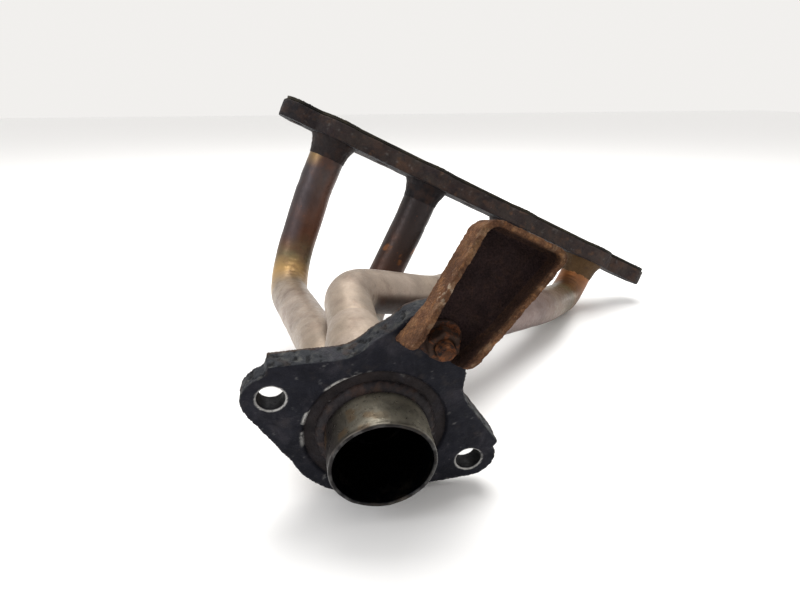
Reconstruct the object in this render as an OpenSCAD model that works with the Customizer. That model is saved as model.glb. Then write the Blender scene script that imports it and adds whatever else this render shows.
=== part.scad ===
// Tubular exhaust manifold for a four-cylinder engine.
// Four runners leave a long head flange and merge in a collector behind the outlet flange.
// A pressed stay bracket is held on the outlet flange by one stud and nut.
// It lies on a bench, on two runner bends and the lower edge of the outlet flange.

/* [Head flange] */
// Distance from one port to the next
port_pitch = 80; // [64:1:96]
// Thickness of the head flange
head_t = 12.5; // [10:0.5:16]
// Width of the head flange at a port
head_w = 44; // [40:1:52]
// Width of the head flange between two ports
head_waist_w = 37; // [30:1:40]
// Distance from the first port to the stud hole beyond it
first_stud_gap = 30; // [27:1:40]
// Distance from the last port to the stud hole beyond it
last_stud_gap = 47; // [36:1:52]
// Radius of the flange around an end stud hole
end_lobe_r = 14; // [12:0.5:18]
// Radius of a stud hole
stud_hole_r = 4.5; // [4:0.25:5.5]

/* [Gasket] */
// Thickness of the steel gasket left on the head flange
gasket_t = 2.5; // [1.5:0.25:4]
// How far the gasket stops short of the flange edge
gasket_inset = 1.5; // [0.5:0.25:3]
// How much wider in radius a gas hole of the gasket is than a runner
gasket_port_gap = 0.5; // [0.25:0.25:2]

/* [Runners] */
// Outside diameter of a runner tube
runner_od = 26; // [22:0.5:28]
// Wall thickness of a runner tube
runner_wall = 2; // [1.5:0.25:3]
// How far a runner stops below the gasket face of the flange
runner_inset = 2; // [1:0.5:4]
// Drop of runner 1 before it turns forward
drop_1 = 113; // [100:1:124]
// Drop of runner 2 before it turns forward
drop_2 = 116; // [98:1:122]
// Drop of runner 3 before it turns forward
drop_3 = 48; // [42:1:54]
// Drop of runner 4 before it turns forward
drop_4 = 34; // [30:1:40]
// Widest reach of the weld at the foot of a runner, outside the tube
port_weld_w = 3.8; // [2.5:0.1:5]
// Height of the weld at the foot of a runner
port_weld_h = 9; // [5:0.5:12]

/* [Outlet flange] */
// Distance from the first port to the outlet, along the head flange
outlet_x = 23; // [18:1:28]
// Distance from the line of ports forward to the outlet face
outlet_reach = 225; // [205:1:245]
// Drop from the head flange to the centre of the outlet
outlet_drop = 126; // [118:1:134]
// Angle of the outlet below the head flange
outlet_tilt = 17.3; // [12:0.1:22]
// Thickness of the outlet flange
outlet_t = 11.5; // [9:0.5:14]
// Distance from the outside of the pipe to the centre of a joint hole
joint_hole_gap = 26.65; // [24.5:0.05:32]
// Radius of a joint hole
outlet_hole_r = 5.75; // [4.5:0.25:6.5]
// Radius of the flange around a joint hole
outlet_lobe_r = 12.5; // [11:0.5:15]
// How far the outline sits off a joint hole, down on the left and up on the right
outlet_lobe_shift = 1.4; // [0:0.1:2.5]
// Width of the round middle of the flange outside the pipe
outlet_body_w = 15.65; // [14:0.05:18]
// Radius of the top lobe that carries the stay bracket
third_lobe_r = 18; // [16:0.5:20]
// Width of the shallow seat around the pipe
seat_w = 9; // [6:0.5:11]
// Depth of the shallow seat
seat_depth = 1.5; // [0.5:0.25:3]
// Thickness of the flange under a bolt head
spot_t = 10; // [8:0.5:11]
// Radius of the spot face behind a joint hole
spot_r = 14.8; // [13:0.2:16]

/* [Outlet pipe] */
// Outside radius of the outlet pipe
pipe_r = 23.35; // [21:0.05:24.5]
// Wall thickness of the outlet pipe
pipe_wall = 2; // [1.5:0.25:3]
// How far the pipe stands out of the flange
pipe_out = 22.8; // [16:0.2:30]
// Height of the weld bead around the pipe
pipe_weld_h = 3.4; // [2:0.2:4.5]

/* [Collector] */
// Gap between two neighbouring runners inside the collector
cluster_gap = 0.87; // [0.6:0.01:2.2]
// Turn of the group of runners about the collector axis
cluster_turn = 38; // [30:1:46]
// Width of the collector outside the pipe where it meets the flange
collector_foot_w = 6.15; // [5:0.05:8]
// Width of the collector outside the runners where they enter
collector_top_w = 1; // [0.5:0.25:3]
// Length of the cone of the collector
collector_cone_l = 15; // [13:0.5:18]
// Length of the collector with its sockets
collector_l = 31; // [28:0.5:34]
// Wall thickness of a socket
socket_wall = 2.4; // [1.5:0.1:3]
// Height of the weld where the runners enter the sockets
merge_weld_h = 3; // [2:0.2:3.4]

/* [Stay bracket] */
// Distance from the outside of the pipe up to the stud
stay_stud_gap = 32.65; // [31:0.05:36]
// Distance from the stud up to where the bracket bends back from its foot
stay_bend_gap = 10; // [10:0.5:12]
// How far the bracket leans back from the outlet flange
stay_lean = 25; // [15:1:35]
// Length of the bracket above the bend
stay_up = 41.5; // [34:0.5:50]
// Length of the side walls below the bend
stay_down = 19; // [17:0.5:20]
// Width of the bracket at its lower end
stay_low_w = 28; // [27:0.5:30]
// Width of the bracket at its upper end
stay_top_w = 42; // [38:0.5:46]
// How far the lower end's left wall stands from the stud
stay_left = 16.5; // [15.5:0.5:17]
// How far the left wall leans in towards the upper end
stay_skew = 11; // [6:0.5:13]
// Depth of the bracket walls
stay_depth = 14; // [11:0.5:18]
// Thickness of the bracket sheet
stay_sheet = 3; // [2:0.25:3]
// Radius of the stay stud
stay_stud_r = 4; // [3:0.25:4]

/* [Lying on the bench] */
// How far the last port end of the head flange slopes down
lie_slope = 26; // [20:0.1:32]
// How far the manifold leans back
lie_lean = -4.4; // [-8:0.1:0]
// Shift that puts the middle of the manifold over the origin
lie_shift = [-95.60, 121.19, 145.54];

/* [Hidden] */
$fn = 72;
eps = 0.01;
chamfer = 0.9;
stay_foot = 19;
washer_t = 1.6;
nut_t = 6.8;

runner_r = runner_od / 2;
gasket_port_r = runner_r + gasket_port_gap;
port_weld_r = runner_r + port_weld_w;
seat_r = pipe_r + seat_w;
outlet_body_r = pipe_r + outlet_body_w;
outlet_bolt_span = 2 * (pipe_r + joint_hole_gap);
stay_stud_y = pipe_r + stay_stud_gap;
stay_bend_y = stay_stud_y + stay_bend_gap;
cluster_r = (runner_od + cluster_gap) / sqrt(2);
collector_foot_r = pipe_r + collector_foot_w;
collector_top_r = cluster_r + runner_r + collector_top_w;
last_port_x = 3 * port_pitch;
left_end_x = -first_stud_gap;
right_end_x = last_port_x + last_stud_gap;
stud_xs = [left_end_x, port_pitch / 2, 1.5 * port_pitch, 2.5 * port_pitch, right_end_x];

// The outlet frame: across the flange, up the flange, and back along the collector axis.
outlet_centre = [outlet_x, -outlet_reach, -outlet_drop];
outlet_up = [0, -sin(outlet_tilt), cos(outlet_tilt)];
outlet_back = [0, cos(outlet_tilt), sin(outlet_tilt)];

third_lobe_y = stay_bend_y - third_lobe_r;
socket_s = outlet_t + collector_l;
runner_end_s = outlet_t + collector_cone_l - 2;

// Turns of the four runners around the collector axis
turn_1 = cluster_turn + 180;
turn_2 = cluster_turn + 270;
turn_3 = cluster_turn + 90;
turn_4 = cluster_turn;

// ---- vectors ----

function unit(v) = v / norm(v);
// Any direction square to v
function square_to(v) = unit(cross(v, abs(v[2]) < 0.9 ? [0, 0, 1] : [1, 0, 0]));
// A frame with its Z along z and its origin at p
function frame_z(p, x, y, z) = [
    [x[0], y[0], z[0], p[0]],
    [x[1], y[1], z[1], p[1]],
    [x[2], y[2], z[2], p[2]],
    [0, 0, 0, 1]
];
// A point on a runner's line into the collector, s behind the outlet face
function cluster_point(turn, s) =
    outlet_centre + s * outlet_back
    + cluster_r * cos(turn) * [1, 0, 0]
    + cluster_r * sin(turn) * outlet_up;

// ---- bent tubes ----

// A bend's wall is this much thicker on each side, and each straight reaches this far into it
bend_swell = 0.05;
bend_lap = 0.5;

// Angle turned at corner i of a route
function corner_angle(p, i) =
    acos(max(-1, min(1, unit(p[i] - p[i - 1]) * unit(p[i + 1] - p[i]))));
// Length of straight that the bend at corner i uses up on each side
function corner_cut(p, r, i) =
    (i <= 0 || i >= len(p) - 1) ? 0 : r[i] * tan(corner_angle(p, i) / 2);

module straight(p, r, i, outer, inner) {
    d = unit(p[i + 1] - p[i]);
    from = corner_cut(p, r, i) - (i > 0 ? bend_lap : 0);
    to = norm(p[i + 1] - p[i]) - corner_cut(p, r, i + 1) + (i < len(p) - 2 ? bend_lap : 0);
    x = square_to(d);
    multmatrix(frame_z(p[i] + from * d, x, cross(d, x), d))
        difference() {
            cylinder(r = outer, h = to - from);
            translate([0, 0, -1]) cylinder(r = inner, h = to - from + 2);
        }
}

module bend(p, r, i, outer, inner) {
    d0 = unit(p[i] - p[i - 1]);
    d1 = unit(p[i + 1] - p[i]);
    toward = unit(d1 - (d0 * d1) * d0);
    start = p[i] - corner_cut(p, r, i) * d0;
    centre = start + r[i] * toward;
    multmatrix(frame_z(centre, -toward, d0, cross(-toward, d0)))
        rotate_extrude(angle = corner_angle(p, i))
            translate([r[i], 0])
                difference() {
                    circle(r = outer + bend_swell);
                    circle(r = inner - bend_swell);
                }
}

// A tube along the corners p, bent to radius r[i] at corner i
module bent_tube(p, r, outer, inner) {
    for (i = [0 : len(p) - 2]) straight(p, r, i, outer, inner);
    for (i = [1 : len(p) - 2]) bend(p, r, i, outer, inner);
}

// ---- frames ----

// Puts the manifold down on the bench
module lie_down() {
    translate(lie_shift) rotate([lie_lean, lie_slope, 0]) children();
}

// Children stand on the outlet face: X across, Y up the flange, Z out along the pipe
module at_outlet() {
    lie_down()
        translate(outlet_centre)
            rotate([90 + outlet_tilt, 0, 0])
                children();
}

// ---- head flange ----

module head_outline(inset) {
    for (i = [0 : 3])
        translate([i * port_pitch, 0]) circle(d = head_w - 2 * inset);
    translate([0, -head_waist_w / 2 + inset])
        square([last_port_x, head_waist_w - 2 * inset]);
    for (x = [left_end_x, right_end_x])
        translate([x, 0]) circle(r = end_lobe_r - inset);
    translate([left_end_x, -end_lobe_r * 0.93 + inset])
        square([right_end_x - left_end_x, end_lobe_r * 1.86 - 2 * inset]);
}

module head_flange() {
    color("#3a3431")
        lie_down()
            difference() {
                linear_extrude(head_t) head_outline(0);
                for (i = [0 : 3])
                    translate([i * port_pitch, 0, -1]) cylinder(r = runner_r, h = head_t + 2);
                for (x = stud_xs)
                    translate([x, 0, -1]) cylinder(r = stud_hole_r, h = head_t + 2);
            }
}

module head_gasket() {
    color("#4a463a")
        lie_down()
            translate([0, 0, head_t])
                difference() {
                    linear_extrude(gasket_t) head_outline(gasket_inset);
                    for (i = [0 : 3])
                        translate([i * port_pitch, 0, -1])
                            cylinder(r = gasket_port_r, h = gasket_t + 2);
                    for (x = stud_xs)
                        translate([x, 0, -1]) cylinder(r = stud_hole_r, h = gasket_t + 2);
                }
}

// ---- runners ----

module runner(p, r) {
    lie_down() bent_tube(p, r, runner_r, runner_r - runner_wall);
}

top_z = head_t - runner_inset;

route_1 = [
    [0, 0, top_z],
    [0, 0, -36],
    [8, 0, -drop_1],
    cluster_point(turn_1, 75),
    cluster_point(turn_1, runner_end_s)
];
route_2 = [
    [port_pitch, 0, top_z],
    [port_pitch, 0, -30],
    [port_pitch - 4, 0, -drop_2],
    cluster_point(turn_2, 62),
    cluster_point(turn_2, runner_end_s)
];
route_3 = [
    [2 * port_pitch, 0, top_z],
    [2 * port_pitch, 0, -drop_3],
    [port_pitch + 2, 133 - outlet_reach, 55 - outlet_drop],
    cluster_point(turn_3, 98),
    cluster_point(turn_3, runner_end_s)
];
route_4 = [
    [last_port_x, 0, top_z],
    [last_port_x, 0, -drop_4],
    [last_port_x - 0.7 * port_pitch, -outlet_reach * 4 / 15, 77 - outlet_drop],
    cluster_point(turn_4, 64),
    cluster_point(turn_4, runner_end_s)
];

module runner_1() {
    color("#7a6048") runner(route_1, [0, 100, 38, 80]);
}

module runner_2() {
    color("#5c5148") runner(route_2, [0, 120, 38, 60]);
}

module runner_3() {
    color("#a89a84") runner(route_3, [0, 34, 100, 30]);
}

module runner_4() {
    color("#9c8c70") runner(route_4, [0, 28, 80, 30]);
}

module port_weld(i) {
    color("#4d423a")
        lie_down()
            translate([i * port_pitch, 0, 0])
                rotate_extrude()
                    polygon([
                        [runner_r, 0],
                        [port_weld_r, 0],
                        [port_weld_r - 0.6, -port_weld_h * 0.3],
                        [runner_r + 1, -port_weld_h * 0.8],
                        [runner_r, -port_weld_h]
                    ]);
}

module port_weld_1() {
    port_weld(0);
}

module port_weld_2() {
    port_weld(1);
}

module port_weld_3() {
    port_weld(2);
}

module port_weld_4() {
    port_weld(3);
}

// ---- collector ----

module collector() {
    socket_r = runner_r + socket_wall;
    color("#9d917f")
        at_outlet()
            difference() {
                union() {
                    translate([0, 0, -outlet_t - collector_cone_l])
                        cylinder(r1 = collector_top_r, r2 = collector_foot_r, h = collector_cone_l);
                    for (turn = [turn_1, turn_2, turn_3, turn_4])
                        rotate([0, 0, turn])
                            translate([cluster_r, 0, -socket_s])
                                cylinder(r = socket_r, h = collector_l - 6);
                }
                translate([0, 0, -outlet_t - collector_cone_l + 2])
                    cylinder(r1 = collector_top_r - 4, r2 = pipe_r, h = collector_cone_l - 1.9);
                for (turn = [turn_1, turn_2, turn_3, turn_4])
                    rotate([0, 0, turn])
                        translate([cluster_r, 0, -socket_s - 1])
                            cylinder(r = runner_r, h = collector_l - collector_cone_l + 3.5);
            }
}

// One run of weld around the four runners where they enter their sockets
module merge_weld() {
    socket_r = runner_r + socket_wall;
    color("#776c5e")
        at_outlet()
            difference() {
                for (turn = [turn_1, turn_2, turn_3, turn_4])
                    rotate([0, 0, turn])
                        translate([cluster_r, 0, -socket_s - merge_weld_h])
                            cylinder(r1 = runner_r + 0.6, r2 = socket_r - 0.3, h = merge_weld_h);
                for (turn = [turn_1, turn_2, turn_3, turn_4])
                    rotate([0, 0, turn])
                        translate([cluster_r, 0, -socket_s - merge_weld_h - 1])
                            cylinder(r = runner_r, h = merge_weld_h + 2);
            }
}

module collector_weld() {
    // The weld lies on the cone of the collector, whatever the cone's slope
    slope = (collector_top_r - collector_foot_r) / collector_cone_l;
    color("#6b6257")
        at_outlet()
            translate([0, 0, -outlet_t])
                rotate_extrude()
                    polygon([
                        [collector_foot_r, 0],
                        [collector_foot_r + 4, 0],
                        [collector_foot_r + 2.93 + 2 * slope, -2],
                        [collector_foot_r + 0.33 + 4.6 * slope, -4.6],
                        [collector_foot_r + 0.03 + 5 * slope, -5]
                    ]);
}

// ---- outlet flange ----

// Points along an arc about c from angle a0 to a1
function arc_points(c, r, a0, a1, n) =
    [for (i = [0 : n]) c + r * [cos(a0 + (a1 - a0) * i / n), sin(a0 + (a1 - a0) * i / n)]];

// One half of the outline, from the bottom up, drawn as a right half; side is 1 or -1.
// Above a joint hole the edge steps in a little, where the casting was dressed.
function half_outline(side) = concat(
    arc_points([-1.6 * side, -0.5], outlet_body_r, -90, -48, 10),
    arc_points([outlet_bolt_span / 2, outlet_lobe_shift * side], outlet_lobe_r, -58, 38, 14),
    [[outlet_bolt_span / 2 + 7.4, 9.6], [outlet_bolt_span / 2 + 8.2, 14.2]],
    arc_points([outlet_bolt_span / 2 - 6, third_lobe_y - 2], 21, 248, 192, 10),
    arc_points([0, third_lobe_y], third_lobe_r, 8, 90, 12)
);

module outlet_flange() {
    right_side = half_outline(1);
    left_half = half_outline(-1);
    left_side = [for (i = [len(left_half) - 2 : -1 : 1]) [-left_half[i][0], left_half[i][1]]];
    color("#2f3038")
        at_outlet()
            difference() {
                translate([0, 0, -outlet_t])
                    linear_extrude(outlet_t) polygon(concat(right_side, left_side));
                translate([0, 0, -outlet_t - 1]) cylinder(r = pipe_r, h = outlet_t + 2);
                translate([0, 0, -seat_depth]) cylinder(r = seat_r, h = seat_depth + 1);
                for (x = [-outlet_bolt_span / 2, outlet_bolt_span / 2]) {
                    translate([x, 0, -outlet_t - 1]) cylinder(r = outlet_hole_r, h = outlet_t + 2);
                    translate([x, 0, -outlet_t - 1]) cylinder(r = spot_r, h = outlet_t - spot_t + 1);
                    translate([x, 0, -chamfer])
                        cylinder(r1 = outlet_hole_r, r2 = outlet_hole_r + chamfer, h = chamfer + eps);
                }
                translate([0, stay_stud_y, -outlet_t - 1]) cylinder(r = stay_stud_r, h = outlet_t + 2);
            }
}

module outlet_pipe() {
    color("#8d8d80")
        at_outlet()
            translate([0, 0, -outlet_t + 1.5])
                difference() {
                    cylinder(r = pipe_r, h = outlet_t - 1.5 + pipe_out);
                    translate([0, 0, -1]) cylinder(r = pipe_r - pipe_wall, h = outlet_t + pipe_out + 2);
                }
}

module outlet_weld() {
    color("#55514a")
        at_outlet()
            translate([0, 0, -seat_depth])
                rotate_extrude()
                    polygon([
                        [pipe_r, 0],
                        [pipe_r + 3.8, 0],
                        [pipe_r + 3.2, pipe_weld_h * 0.55],
                        [pipe_r + 1.4, pipe_weld_h * 0.95],
                        [pipe_r, pipe_weld_h]
                    ]);
}

// ---- stay bracket ----

// Children sit on the sloping back of the bracket: Y up along it, Z out of its open side
module at_stay() {
    at_outlet() translate([0, stay_bend_y, 0]) rotate([-stay_lean, 0, 0]) children();
}

// Face-on outline of the bracket, drawn in by inset, with its lower end at low
function stay_outline(inset, low) =
    let(
        full = stay_down + stay_up,
        left_0 = -stay_left + inset,
        left_k = stay_skew / full,
        right_0 = stay_low_w - stay_left - inset,
        right_k = (stay_top_w - stay_low_w + stay_skew) / full,
        left_r = 9 - inset,
        right_r = 5.5 - inset,
        top = stay_up - inset,
        left_x = left_0 + left_k * (full - 9) + left_r,
        right_x = right_0 + right_k * (full - 4) - right_r
    )
    concat(
        [[right_0 + right_k * (low + stay_down), low]],
        arc_points([right_x, top - right_r], right_r, 0, 90, 5),
        arc_points([left_x, top - left_r], left_r, 90, 180, 8),
        [[left_0 + left_k * (low + stay_down), low]]
    );

// A point of the side view, from its height on the flange and its distance off the face
function on_stay(y, off) = [
    (y - stay_bend_y) * cos(stay_lean) - off * sin(stay_lean),
    (y - stay_bend_y) * sin(stay_lean) + off * cos(stay_lean)
];

// Side view extruded across the bracket: first coordinate up along it, second out of it
module side_slab(points) {
    multmatrix([[0, 0, 1, -60], [1, 0, 0, 0], [0, 1, 0, 0], [0, 0, 0, 1]])
        linear_extrude(120) polygon(points);
}

module stay_bracket() {
    foot_y = stay_bend_y - stay_foot;
    crease = stay_sheet * tan(stay_lean / 2);
    color("#8a5a36")
        difference() {
            at_stay()
                difference() {
                    intersection() {
                        translate([0, 0, -20])
                            linear_extrude(60) polygon(stay_outline(0, -stay_down - 5));
                        side_slab(concat(
                            [[0, 0], [stay_up, 0], [stay_up, stay_depth]],
                            arc_points([6 - stay_down, stay_depth - 6], 6, 90, 180, 6),
                            [[-stay_down, 3], on_stay(foot_y, 3), on_stay(foot_y, 0)]
                        ));
                    }
                    intersection() {
                        translate([0, 0, -20])
                            linear_extrude(60) polygon(stay_outline(stay_sheet, -stay_down - 20));
                        side_slab([
                            [-crease, stay_sheet],
                            [stay_up + 9, stay_sheet],
                            [stay_up + 9, stay_depth + 9],
                            [-stay_down - 15, stay_depth + 9],
                            on_stay(foot_y - 12, stay_sheet)
                        ]);
                    }
                }
            at_outlet()
                translate([0, stay_stud_y, -1]) cylinder(r = stay_stud_r, h = stay_sheet + 2);
        }
}

module stay_stud() {
    color("#5b4331")
        at_outlet()
            translate([0, stay_stud_y, -outlet_t])
                cylinder(r = stay_stud_r, h = outlet_t + stay_sheet + washer_t + nut_t + 5);
}

module stay_washer() {
    color("#5a4a3c")
        at_outlet()
            translate([0, stay_stud_y, stay_sheet])
                difference() {
                    cylinder(r = 9, h = washer_t);
                    translate([0, 0, -1]) cylinder(r = stay_stud_r, h = washer_t + 2);
                }
}

module stay_nut() {
    color("#6b4a30")
        at_outlet()
            translate([0, stay_stud_y, stay_sheet + washer_t])
                difference() {
                    cylinder(r = 7.5, h = nut_t, $fn = 6);
                    translate([0, 0, -1]) cylinder(r = stay_stud_r, h = nut_t + 2);
                }
}

head_gasket();
head_flange();
runner_1();
runner_2();
runner_3();
runner_4();
port_weld_1();
port_weld_2();
port_weld_3();
port_weld_4();
collector();
merge_weld();
collector_weld();
outlet_flange();
outlet_pipe();
outlet_weld();
stay_bracket();
stay_stud();
stay_washer();
stay_nut();
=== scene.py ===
import math
import bpy
from mathutils import Matrix, Vector, noise


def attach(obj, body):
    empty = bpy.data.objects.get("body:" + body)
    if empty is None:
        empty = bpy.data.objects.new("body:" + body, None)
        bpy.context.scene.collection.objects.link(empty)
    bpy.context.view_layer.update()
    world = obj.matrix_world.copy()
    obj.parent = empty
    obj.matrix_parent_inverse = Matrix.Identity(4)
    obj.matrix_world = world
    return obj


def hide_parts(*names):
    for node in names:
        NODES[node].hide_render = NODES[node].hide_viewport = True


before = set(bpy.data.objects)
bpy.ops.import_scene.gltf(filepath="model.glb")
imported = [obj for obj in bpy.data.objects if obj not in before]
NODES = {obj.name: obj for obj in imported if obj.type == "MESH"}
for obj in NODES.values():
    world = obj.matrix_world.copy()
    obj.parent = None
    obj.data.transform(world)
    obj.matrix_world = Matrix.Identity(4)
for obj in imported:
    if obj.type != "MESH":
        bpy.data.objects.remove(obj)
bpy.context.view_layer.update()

MM = 0.001

# ---- sizes of the part, in mm ----

PORT_PITCH = 80.0
PORTS_X = [i * PORT_PITCH for i in range(4)]
HEAD_T = 12.5
# Stud holes of the head flange: one beyond each end port and one between each pair of ports
STUDS_X = [-30.0, 0.5 * PORT_PITCH, 1.5 * PORT_PITCH, 2.5 * PORT_PITCH, PORTS_X[3] + 47.0]
STUD_HOLE_R = 4.5
RUNNER_R = 13.0
RUNNER_WALL = 2.0
RUNNER_INSET = 2.0
TOP_Z = HEAD_T - RUNNER_INSET

OUTLET = Vector((23.0, -225.0, -126.0))
OUTLET_TILT = 17.3
OUTLET_T = 11.5
JOINT_HOLE_X = 50.0
JOINT_HOLE_R = 5.75
SEAT_R = 32.35
SEAT_DEPTH = 1.5
PIPE_R = 23.35
PIPE_WALL = 2.0
PIPE_IN = 10.0
PIPE_OUT = 22.8

CLUSTER_R = 19.0
CLUSTER_TURN = 38.0
CLUSTER_TURNS = [CLUSTER_TURN + 90 * i for i in range(4)]
COLLECTOR_FOOT_R = 29.5

STUD_Y = 56.0
STUD_R = 4.0
BEND_Y = 66.0
STAY_LEAN = 25.0
STAY_SHEET = 3.0
STAY_DEPTH = 14.0
WASHER_T = 1.6
NUT_T = 6.8
NUT_R = 7.5

# How the manifold lies on the bench: turned about Y, then tipped about X, then set down
LIE_TURN = 26.0
LIE_TIP = -4.4
LIE_SHIFT = (-95.60, 121.19, 145.54)

rad = math.radians
# Frames of the head flange, of the outlet face and of the sloping back of the bracket
LIE = (Matrix.Translation(LIE_SHIFT) @ Matrix.Rotation(rad(LIE_TURN), 4, "Y")
       @ Matrix.Rotation(rad(LIE_TIP), 4, "X"))
OUT = LIE @ Matrix.Translation(OUTLET) @ Matrix.Rotation(rad(90 + OUTLET_TILT), 4, "X")
STAY = OUT @ Matrix.Translation((0, BEND_Y, 0)) @ Matrix.Rotation(rad(-STAY_LEAN), 4, "X")


# ---- small helpers ----

def lin(c):
    """A display value from 0 to 255 as linear light from 0 to 1."""
    c = c / 255.0
    return c / 12.92 if c <= 0.04045 else ((c + 0.055) / 1.055) ** 2.4


def rgb(r, g, b):
    return Vector((lin(r), lin(g), lin(b)))


def clamp(t, a=0.0, b=1.0):
    return max(a, min(b, t))


def step(t, a, b):
    """Rises smoothly from 0 to 1 as t goes from a to b."""
    t = clamp((t - a) / (b - a))
    return t * t * (3 - 2 * t)


def fbm(p, size, octaves=3, seed=0.0):
    """Noise from about -1 to 1, with features of this size in mm. Each seed gives its own pattern."""
    q = Vector((p[0] / size + seed * 7.3, p[1] / size - seed * 3.1, p[2] / size + seed * 5.7))
    return noise.fractal(q, 0.9, 2.1, octaves)


def ramp(t, stops):
    """The colour at t along stops of (place, colour)."""
    if t <= stops[0][0]:
        return stops[0][1]
    for (a, ca), (b, cb) in zip(stops, stops[1:]):
        if t <= b:
            return ca.lerp(cb, (t - a) / (b - a))
    return stops[-1][1]


def square_to(v):
    """A direction at right angles to v."""
    return v.cross(Vector((0, 0, 1)) if abs(v.z) < 0.9 else Vector((1, 0, 0))).normalized()


def ray(a):
    """The direction at angle a about Z."""
    return Vector((math.cos(a), math.sin(a), 0))


def bridge(faces, a, b):
    """Quads between two closed rings with the same number of points."""
    n = len(a)
    for k in range(n):
        j = (k + 1) % n
        faces.append((a[k], a[j], b[j], b[k]))


def turned_faces(segments, m):
    """The quads of a closed profile of m points turned right round."""
    faces = []
    for i in range(segments):
        j = (i + 1) % segments
        for k in range(m):
            q = (k + 1) % m
            faces.append((i * m + k, j * m + k, j * m + q, i * m + q))
    return faces


def make(name, verts, faces, at):
    """A mesh object from points in mm in the frame at, placed in the row frame in metres."""
    me = bpy.data.meshes.new(name)
    me.from_pydata([(at @ v) * MM for v in verts], [], faces)
    me.update()
    me.polygons.foreach_set("use_smooth", [True] * len(me.polygons))
    obj = bpy.data.objects.new(name, me)
    bpy.context.scene.collection.objects.link(obj)
    return obj


def paint(obj, colours, shine=None, plain=None):
    """Keeps on each point a colour, how bare and shiny the metal is, and how free of spots it is."""
    me = obj.data
    flat = []
    for c in colours:
        flat += [max(0.0, c[0]), max(0.0, c[1]), max(0.0, c[2]), 1.0]
    me.color_attributes.new("tint", "FLOAT_COLOR", "POINT").data.foreach_set("color", flat)
    me.attributes.new("shine", "FLOAT", "POINT").data.foreach_set(
        "value", shine if shine else [0.0] * len(colours))
    me.attributes.new("plain", "FLOAT", "POINT").data.foreach_set(
        "value", plain if plain else [0.0] * len(colours))


def settle(obj, slot_name, material, *nodes):
    """Gives the piece its material and its body, and hides the CAD nodes it stands for. The slot name is
    not used.
    """
    obj.data.materials.clear()
    obj.data.materials.append(material)
    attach(obj, "root")
    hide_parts(*nodes)
    return obj


def fine_copy(node, at, voxel, smooth, iterations, extra=()):
    """The CAD solid, joined with any extra rings, as a fine even mesh in mm in the frame at."""
    me = NODES[node].data.copy()
    me.transform(at.inverted() @ Matrix.Scale(1 / MM, 4))
    if extra:
        points = [v.co.copy() for v in me.vertices]
        sides = [tuple(f.vertices) for f in me.polygons]
        for more_points, more_sides in extra:
            sides += [tuple(i + len(points) for i in f) for f in more_sides]
            points += more_points
        bpy.data.meshes.remove(me)
        me = bpy.data.meshes.new("joined")
        me.from_pydata(points, [], sides)
    tmp = bpy.data.objects.new("tmp", me)
    bpy.context.scene.collection.objects.link(tmp)
    weld = tmp.modifiers.new("weld", "WELD")
    weld.merge_threshold = 0.01
    mod = tmp.modifiers.new("remesh", "REMESH")
    mod.mode = "VOXEL"
    mod.voxel_size = voxel
    soft = tmp.modifiers.new("soft", "SMOOTH")
    soft.factor = smooth
    soft.iterations = iterations
    dg = bpy.context.evaluated_depsgraph_get()
    fine = bpy.data.meshes.new_from_object(tmp.evaluated_get(dg))
    verts = [v.co.copy() for v in fine.vertices]
    normals = [n.vector.copy() for n in fine.vertex_normals]
    faces = [tuple(p.vertices) for p in fine.polygons]
    bpy.data.objects.remove(tmp)
    bpy.data.meshes.remove(me)
    bpy.data.meshes.remove(fine)
    return verts, normals, faces


def reshape(name, node, at, fineness, point, slot_name, material, extra=()):
    """A piece made from a CAD solid. The fineness is its voxel size, then how strongly and how often
    it is smoothed. point(v, n) gives each point's new place, colour, shine and freedom from spots."""
    verts, normals, faces = fine_copy(node, at, *fineness, extra)
    places, colours, shine, plain = zip(*[point(v, n) for v, n in zip(verts, normals)])
    obj = make(name, places, faces, at)
    paint(obj, colours, shine, plain)
    settle(obj, slot_name, material, node)


def lathe(name, at, profile, segments, wobble, spacing=0.6):
    """A closed profile of (radius, height) turned about Z, each point moved by wobble(p, angle)."""
    loop = []
    for (r0, z0), (r1, z1) in zip(profile, profile[1:] + profile[:1]):
        n = max(1, int(math.hypot(r1 - r0, z1 - z0) / spacing))
        loop += [(r0 + (r1 - r0) * k / n, z0 + (z1 - z0) * k / n) for k in range(n)]
    verts = []
    for i in range(segments):
        a = 2 * math.pi * i / segments
        for r, z in loop:
            p = Vector((r * math.cos(a), r * math.sin(a), z))
            verts.append(wobble(p, a))
    return make(name, verts, turned_faces(segments, len(loop)), at), verts


# ---- materials ----

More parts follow.
